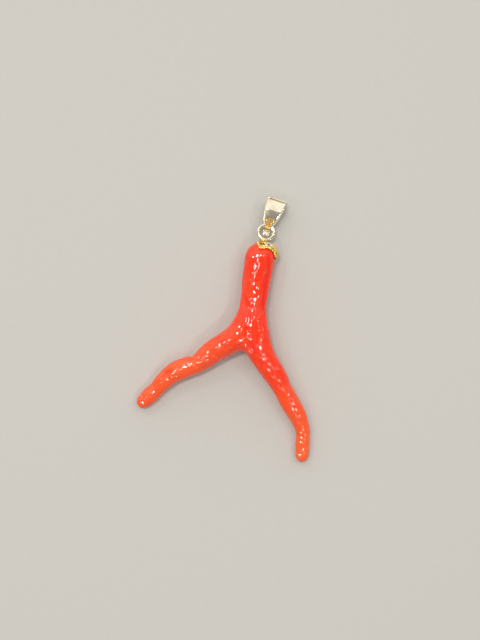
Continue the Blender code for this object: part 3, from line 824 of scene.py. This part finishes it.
def build_bail():
    """A strip bent into a loop: the oblong |x|^n + |y|^n = 1, as wide as the bail is there, on its path."""
    steps, sides = BAIL_GRID
    path = rounded_path(BAIL_CORNERS, steps)
    ahead = np.gradient(path, axis=0)
    ahead /= np.linalg.norm(ahead, axis=1, keepdims=True)
    out = np.stack((ahead[:, 1], -ahead[:, 0]), axis=1)
    share = np.linspace(0.0, 1.0, steps)
    half = np.interp(path[:, 0], BAIL_WIDTHS[:, 0], BAIL_WIDTHS[:, 1])
    rounding, least_width, least_thickness = BAIL_ENDS
    ends = np.clip(np.minimum(np.arange(steps), np.arange(steps)[::-1]) / rounding, 0.0, 1.0)
    ends = np.sqrt(1.0 - (1.0 - ends) ** 2)
    half = half * (least_width + (1.0 - least_width) * ends)
    turn = np.linspace(0.0, TAU, sides, endpoint=False)
    cosine, sine = np.cos(turn), np.sin(turn)
    norm = (np.abs(cosine) ** BAIL_SQUARE + np.abs(sine) ** BAIL_SQUARE) ** (-1.0 / BAIL_SQUARE)
    across, deep = cosine * norm, sine * norm
    edge_share, edge_thickness = BAIL_EDGE
    edge = np.clip((1.0 - np.abs(across)) / edge_share, 0.0, 1.0)
    rounded = np.sqrt(edge * (2.0 - edge))
    thick = 0.5 * BAIL_SHEET * (edge_thickness + (1.0 - edge_thickness) * rounded)
    x = half[:, None] * across[None, :]
    off = (deep * thick)[None, :] * (least_thickness + (1.0 - least_thickness) * ends[:, None])
    place, width, depth = BAIL_LINE
    line = depth * np.exp(-(((path[:, 0] - place) / width) ** 2)) * (path[:, 1] > 3.0)
    off = off - line[:, None] * (off > 0.0)
    aside, length = BAIL_TIP_AWAY
    back = np.where(share < 0.5, np.clip(-path[:, 0] / length, 0.0, 1.0), 0.0)
    x = x + aside * back[:, None] + BAIL_LEAN * np.maximum(path[:, :1], 0.0)
    v = path[:, None, 0] + off * out[:, None, 0]
    h = path[:, None, 1] + off * out[:, None, 1] + BAIL_BACK
    local = np.stack((x, v, h), axis=-1)
    first, last = (end.mean(1, keepdims=True) + 0 * end for end in (local[:1], local[-1:]))
    local = np.concatenate((first, local, last))
    hinge = RING_CENTRE + fitting_axes(RING_SLOPE)[:, 1] * RING_RADIUS
    points = hinge + local @ fitting_axes(BAIL_TILT).T
    return welded(mesh_object("bail_strip", points, grid_faces(len(local), len(turn))))


# Finishes

TARNISH = 0.5  # its most, as a share of the darker gold
MIX_SOCKETS = (0, 6, 7, 2)  # a colour Mix node's factor, colours and result, whose names it has three times


class Value:
    """A number socket; each operator used on it adds one Math node and gives the result's socket."""

    def __init__(self, finish, socket):
        self.finish = finish
        self.socket = socket

    def __add__(self, other):
        return self.finish.maths("ADD", self, other)

    def __radd__(self, other):
        return self.finish.maths("ADD", other, self)

    def __sub__(self, other):
        return self.finish.maths("SUBTRACT", self, other)

    def __rsub__(self, other):
        return self.finish.maths("SUBTRACT", other, self)

    def __mul__(self, other):
        return self.finish.maths("MULTIPLY", self, other)

    def __rmul__(self, other):
        return self.finish.maths("MULTIPLY", other, self)

    def within(self, low, high):
        """From 0 at low to 1 at high, and flat beyond."""
        sockets = {"Value": self, "From Min": low, "From Max": high}
        return self.finish.node("ShaderNodeMapRange", {"interpolation_type": "SMOOTHSTEP"}, sockets)


class Nodes:
    """Nodes added to one tree."""

    def __init__(self, tree):
        self.tree = tree

    def node(self, kind, settings=(), sockets=(), output=0):
        """Any node: its settings first, then its sockets' values or links; gives the output as a Value."""
        node = self.tree.nodes.new(kind)
        for name, value in dict(settings).items():
            if name == "stops":
                while len(node.color_ramp.elements) < len(value):
                    node.color_ramp.elements.new(1.0)
                for element, (position, colour) in zip(node.color_ramp.elements, value):
                    element.position = position
                    element.color = colour
            else:
                setattr(node, name, value)
        for name, value in dict(sockets).items():
            self.join(node.inputs[name], value)
        return Value(self, node.outputs[output])

    def join(self, socket, value):
        """Sets a socket to a value, or links it."""
        if isinstance(value, Value):
            self.tree.links.new(value.socket, socket)
        else:
            socket.default_value = value

    def maths(self, operation, first, second):
        """One Math node."""
        return self.node("ShaderNodeMath", {"operation": operation}, {0: first, 1: second})


class Finish(Nodes):
    """A material under construction round one Principled shader."""

    def __init__(self, name, constants):
        self.material = bpy.data.materials.new(name)
        self.material.use_nodes = True
        super().__init__(self.material.node_tree)
        self.shader = self.tree.nodes["Principled BSDF"]
        for socket, value in constants.items():
            self.shader.inputs[socket].default_value = value

    def blend(self, share, first, second):
        """Colour from first to second by share."""
        factor, first_colour, second_colour, result = MIX_SOCKETS
        sockets = {factor: share, first_colour: first, second_colour: second}
        return self.node("ShaderNodeMix", {"data_type": "RGBA"}, sockets, output=result)

    def attribute(self, name):
        """The number that the mesh carries under this name."""
        return self.node("ShaderNodeAttribute", {"attribute_name": name}, output="Fac")

    def place(self, scale=(1.0, 1.0, 1.0), turn=0.0):
        """Object coordinates, scaled and turned about the upright."""
        here = self.node("ShaderNodeTexCoord", output="Object")
        sockets = {"Vector": here, "Scale": scale, "Rotation": (0.0, 0.0, turn)}
        return self.node("ShaderNodeMapping", (), sockets)

    def noise(self, vector, scale, detail=3.0, roughness=0.5):
        """Noise from 0 to 1."""
        sockets = {"Vector": vector, "Scale": scale, "Detail": detail, "Roughness": roughness}
        return self.node("ShaderNodeTexNoise", (), sockets, output=0)

    def bump(self, height, distance, strength):
        """The shader's normal, from a height."""
        sockets = {"Height": height, "Distance": distance, "Strength": strength}
        self.set("Normal", self.node("ShaderNodeBump", (), sockets))

    def set(self, socket, value):
        """A socket of the shader."""
        self.join(self.shader.inputs[socket], value)


def rgb(red, green, blue):
    """A colour from 0-255 screen values, made linear: ((v / 255 + 0.055) / 1.055) ^ 2.4."""
    screen = np.array((red, green, blue)) / 255.0
    linear = np.where(screen <= 0.04045, screen / 12.92, ((screen + 0.055) / 1.055) ** 2.4)
    return (*linear.tolist(), 1.0)


def coral_finish():
    """Polished coral: red with orange growth bands, darker red in the grooves as painted shade, paler on the
    ripples' crests as a painted sheen, and near-black painted shade on the top under the cap.
    """
    finish = Finish("polished coral", {
        "IOR": 1.52,
        "Coat Weight": 0.10,
        "Coat Roughness": 0.04,
        "Subsurface Weight": 0.10,
        "Subsurface Radius": (1.0, 0.20, 0.08),
        "Subsurface Scale": 0.0010,
    })
    growth = finish.attribute("growth")
    groove = finish.attribute("groove")
    height = finish.attribute("height")
    here = finish.place()
    cloud = finish.noise(here, 160.0)
    colour = finish.blend(cloud.within(0.35, 0.70), (0.92, 0.030, 0.003, 1.0), (0.94, 0.048, 0.007, 1.0))
    colour = finish.blend(growth.within(0.50, 0.95) * 0.45, colour, (0.95, 0.100, 0.018, 1.0))
    colour = finish.blend(finish.attribute("tip") * 0.75, colour, (0.95, 0.150, 0.030, 1.0))
    # Painted shade: deeper, darker red in the grooves
    colour = finish.blend(groove.within(0.10, 0.95) * 0.85, colour, (0.86, 0.010, 0.002, 1.0))
    # Painted sheen: paler orange on the relief's highest crests
    colour = finish.blend(height.within(0.62, 1.0) * 0.30, colour, (0.97, 0.160, 0.050, 1.0))
    # Painted shade: near-black on the coral's recessed top under the cap
    colour = finish.blend(finish.attribute("crown"), colour, (0.035, 0.012, 0.006, 1.0))
    finish.set("Base Color", colour)
    grain = finish.noise(here, 1400.0, detail=1.0)
    finish.set("Roughness", 0.06 + grain * 0.05)
    lumps = finish.noise(here, 900.0, detail=0.0)
    finish.bump((lumps - 0.5) * (1.0 - finish.attribute("facet")), 0.00010, 1.0)
    return finish.material


def gold_finish(name, light, dark, roughness, pale=None):
    """Gold: a little tarnish in clouds, fine scratches in two directions, and a painted highlight, paler,
    where the mesh marks one.
    """
    finish = Finish(name, {"Metallic": 1.0})
    here = finish.place()
    cloud = finish.noise(here, 420.0, detail=4.0)
    colour = finish.blend(cloud.within(0.42, 0.78) * TARNISH, light, dark)
    if pale:
        colour = finish.blend(finish.attribute("pale"), colour, pale)
    finish.set("Base Color", colour)
    lines = finish.noise(finish.place((9000.0, 260.0, 900.0), 0.6), 1.0, detail=2.0)
    cross = finish.noise(finish.place((300.0, 7000.0, 900.0), 0.2), 1.0, detail=2.0)
    finish.set("Roughness", roughness + lines.within(0.45, 0.9) * 0.10 + cloud * 0.05)
    finish.bump(lines + cross, 0.000004, 0.25)
    return finish.material


def floor_finish():
    """Pale paper floor."""
    finish = Finish("pale floor", {"Roughness": 0.9})
    fibre = finish.noise(finish.place(), 900.0)
    finish.set("Base Color", finish.blend(fibre, rgb(190, 188, 184), rgb(194, 192, 188)))
    return finish.material


def dress(piece, material, body, slot, *nodes):
    """A piece's material, the body that it rides on and the CAD nodes that it stands for. The slot argument
    is not used.
    """
    piece.data.materials.clear()
    piece.data.materials.append(material)
    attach(piece, body)
    if nodes:
        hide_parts(*nodes)


# Studio

def area_lamp(name, place, size, power, colour):
    """A round area lamp at place, in metres, that looks at the part."""
    data = bpy.data.lights.new(name, "AREA")
    data.shape = "DISK"
    data.size = size
    data.energy = power
    data.color = colour
    lamp = bpy.data.objects.new(name, data)
    lamp.location = place
    aim = Vector(LAMP_TARGET) - Vector(place)
    lamp.rotation_euler = aim.to_track_quat("-Z", "Y").to_euler()
    bpy.context.scene.collection.objects.link(lamp)


LAMP_TARGET = (0.003, 0.0, 0.0)
KEY_LAMP = (0.095, 1.05, (1.0, 0.95, 0.86))  # size across in metres, power in watts, colour
SMALL_LAMP = (0.028, 0.18, (1.0, 0.97, 0.92))
FLOOR_REACH = 2.0
# Soft sky: level by height from the horizon up, darkest straight overhead, and the far side brighter
SKY = tuple((height, (level, level, level, 1.0)) for height, level in (
    (0.0, 0.42),
    (0.30, 0.38),
    (0.80, 0.36),
    (0.95, 0.32),
    (0.985, 0.18),
))
FAR_SKY = (0.22, 0.42, 0.70)  # from and to this share of +Y, and the level added
WARMTH = (0.985, 0.96)  # the sky's green and blue over its red
LENS = 59.25
SENSOR = 36.0
SMALL_LAMPS = (
    (0.32, 0.10, 0.46),
    (-0.33, -0.04, 0.45),
    (0.09, -0.30, 0.49),
    (-0.22, 0.34, 0.42),
    (0.17, 0.20, 0.54),
    (-0.20, -0.18, 0.53),
    (0.24, -0.14, 0.50),
    (-0.19, 0.08, 0.56),
)


def build_studio():
    """Pale floor, one key lamp near the camera, eight small lamps round it, a soft sky, and the camera."""
    corners = [(x * FLOOR_REACH, y * FLOOR_REACH, 0.0) for x, y in ((-1, -1), (1, -1), (1, 1), (-1, 1))]
    floor = mesh_object("floor", corners, ((0, 1, 2, 3),), scale=1.0)
    floor.data.materials.append(floor_finish())
    area_lamp("key", LAMP.tolist(), *KEY_LAMP)
    for number, place in enumerate(SMALL_LAMPS):
        area_lamp(f"small lamp {number}", place, *SMALL_LAMP)
    world = bpy.data.worlds.new("soft sky")
    world.use_nodes = True
    bpy.context.scene.world = world
    sky = Nodes(world.node_tree)
    toward = sky.node("ShaderNodeTexCoord", output="Generated")
    height = sky.node("ShaderNodeSeparateXYZ", (), {"Vector": toward}, output="Z")
    depth = sky.node("ShaderNodeSeparateXYZ", (), {"Vector": toward}, output="Y")
    light = sky.node("ShaderNodeValToRGB", {"stops": SKY}, {"Fac": height})
    low, high, level = FAR_SKY
    far = depth.within(low, high) * level + light
    green, blue = WARMTH
    tint = sky.node("ShaderNodeCombineColor", (), {"Red": far, "Green": far * green, "Blue": far * blue})
    sky.join(world.node_tree.nodes["Background"].inputs["Color"], tint)
    data = bpy.data.cameras.new("camera")
    data.sensor_fit = "VERTICAL"
    data.sensor_height = SENSOR
    data.lens = LENS
    data.clip_start = 0.01
    camera = bpy.data.objects.new("camera", data)
    camera.location = CAMERA.tolist()
    bpy.context.scene.collection.objects.link(camera)
    bpy.context.scene.camera = camera
    bpy.context.scene.view_settings.view_transform = "Standard"


# Colour of the painted highlight on the cap
painted_highlight_colour = rgb(250, 244, 226)
yellow_gold = gold_finish("yellow gold", rgb(255, 220, 130), rgb(236, 172, 78), 0.13, painted_highlight_colour)
pale_gold = gold_finish("pale gold", rgb(246, 238, 214), rgb(214, 188, 140), 0.09)

build_studio()
dress(build_coral(), coral_finish(), "pendant", "coral", "coral_stem", "coral_left_arm", "coral_right_arm")
dress(build_cap(), yellow_gold, "pendant", "cap_gold", "cap")
dress(build_beads(), yellow_gold, "pendant", "cap_gold")
dress(build_boss(), yellow_gold, "pendant", "cap_gold")
dress(build_ring(), pale_gold, "pendant", "pale_gold", "cap_ring")
dress(build_bail(), pale_gold, "bail", "pale_gold", "bail")
